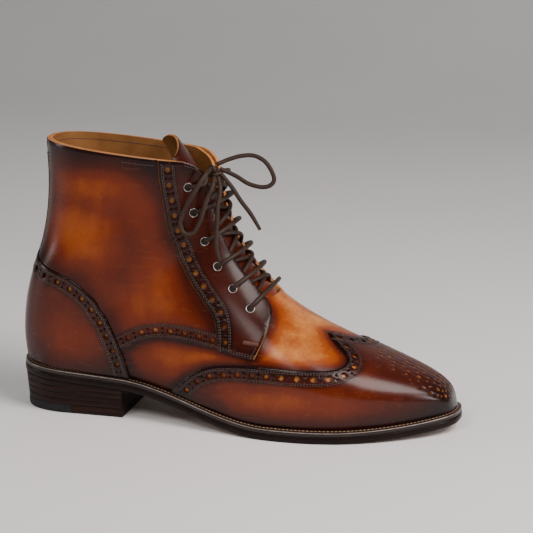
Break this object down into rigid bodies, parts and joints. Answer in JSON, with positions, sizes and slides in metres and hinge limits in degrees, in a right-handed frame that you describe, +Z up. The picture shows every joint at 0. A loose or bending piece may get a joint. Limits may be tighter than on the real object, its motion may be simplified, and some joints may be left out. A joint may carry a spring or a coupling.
{
  "type": "brogue boot",
  "caption": "Wing-tip lace-up ankle boot for the right foot in burnished cognac leather, with a welted leather sole and a stacked heel.",
  "frame": {"origin": "under the middle of the sole outline, on the floor", "axes": "+X from heel to toe, +Y towards the inner side of the foot, +Z up"},
  "size_m": [0.3072, 0.1042, 0.1906],
  "materials": {
    "outsole": "dark edge-dressed sole leather",
    "welt": "dark welt leather with a pale stitch",
    "insole": "ochre lining leather",
    "heel_lifts": "stacked leather, dressed dark brown",
    "heel_rubber": "moulded dark grey rubber",
    "upper": "burnished cognac calf with an ochre lining",
    "toe_cap": "burnished mahogany calf",
    "quarters": "burnished cognac calf",
    "facings": "dark mahogany calf",
    "counter": "burnished mahogany calf",
    "tongue": "dark calf with an ochre lining",
    "eyelets": "thin nickel-plated rings",
    "lace": "round waxed cord"
  },
  "bodies": {
    "root": {"outsole": "outsole", "welt": "welt", "insole": "insole", "heel_lift_1": "heel_lifts", "heel_lift_2": "heel_lifts", "heel_lift_3": "heel_lifts", "heel_lift_4": "heel_lifts", "heel_rubber": "heel_rubber", "heel_leather": "heel_lifts", "upper": "upper", "toe_cap": "toe_cap", "quarter_lateral": "quarters", "facing_lateral": "facings", "quarter_medial": "quarters", "facing_medial": "facings", "counter": "counter", "back_strip": "counter", "tongue": "tongue", "eyelet_lateral_1": "eyelets", "eyelet_medial_1": "eyelets", "eyelet_lateral_2": "eyelets", "eyelet_medial_2": "eyelets", "eyelet_lateral_3": "eyelets", "eyelet_medial_3": "eyelets", "eyelet_lateral_4": "eyelets", "eyelet_medial_4": "eyelets", "eyelet_lateral_5": "eyelets", "eyelet_medial_5": "eyelets", "eyelet_lateral_6": "eyelets", "eyelet_medial_6": "eyelets", "lace_bar_2": "lace", "lace_bar_3": "lace", "lace_bar_4": "lace", "lace_bar_5": "lace", "lace_bar_6": "lace", "lace_strand_lateral": "lace", "lace_strand_medial": "lace", "lace_loop_front": "lace", "lace_loop_side": "lace", "lace_end_long": "lace", "lace_end_short": "lace", "lace_knot": "lace"}
  },
  "joints": []
}
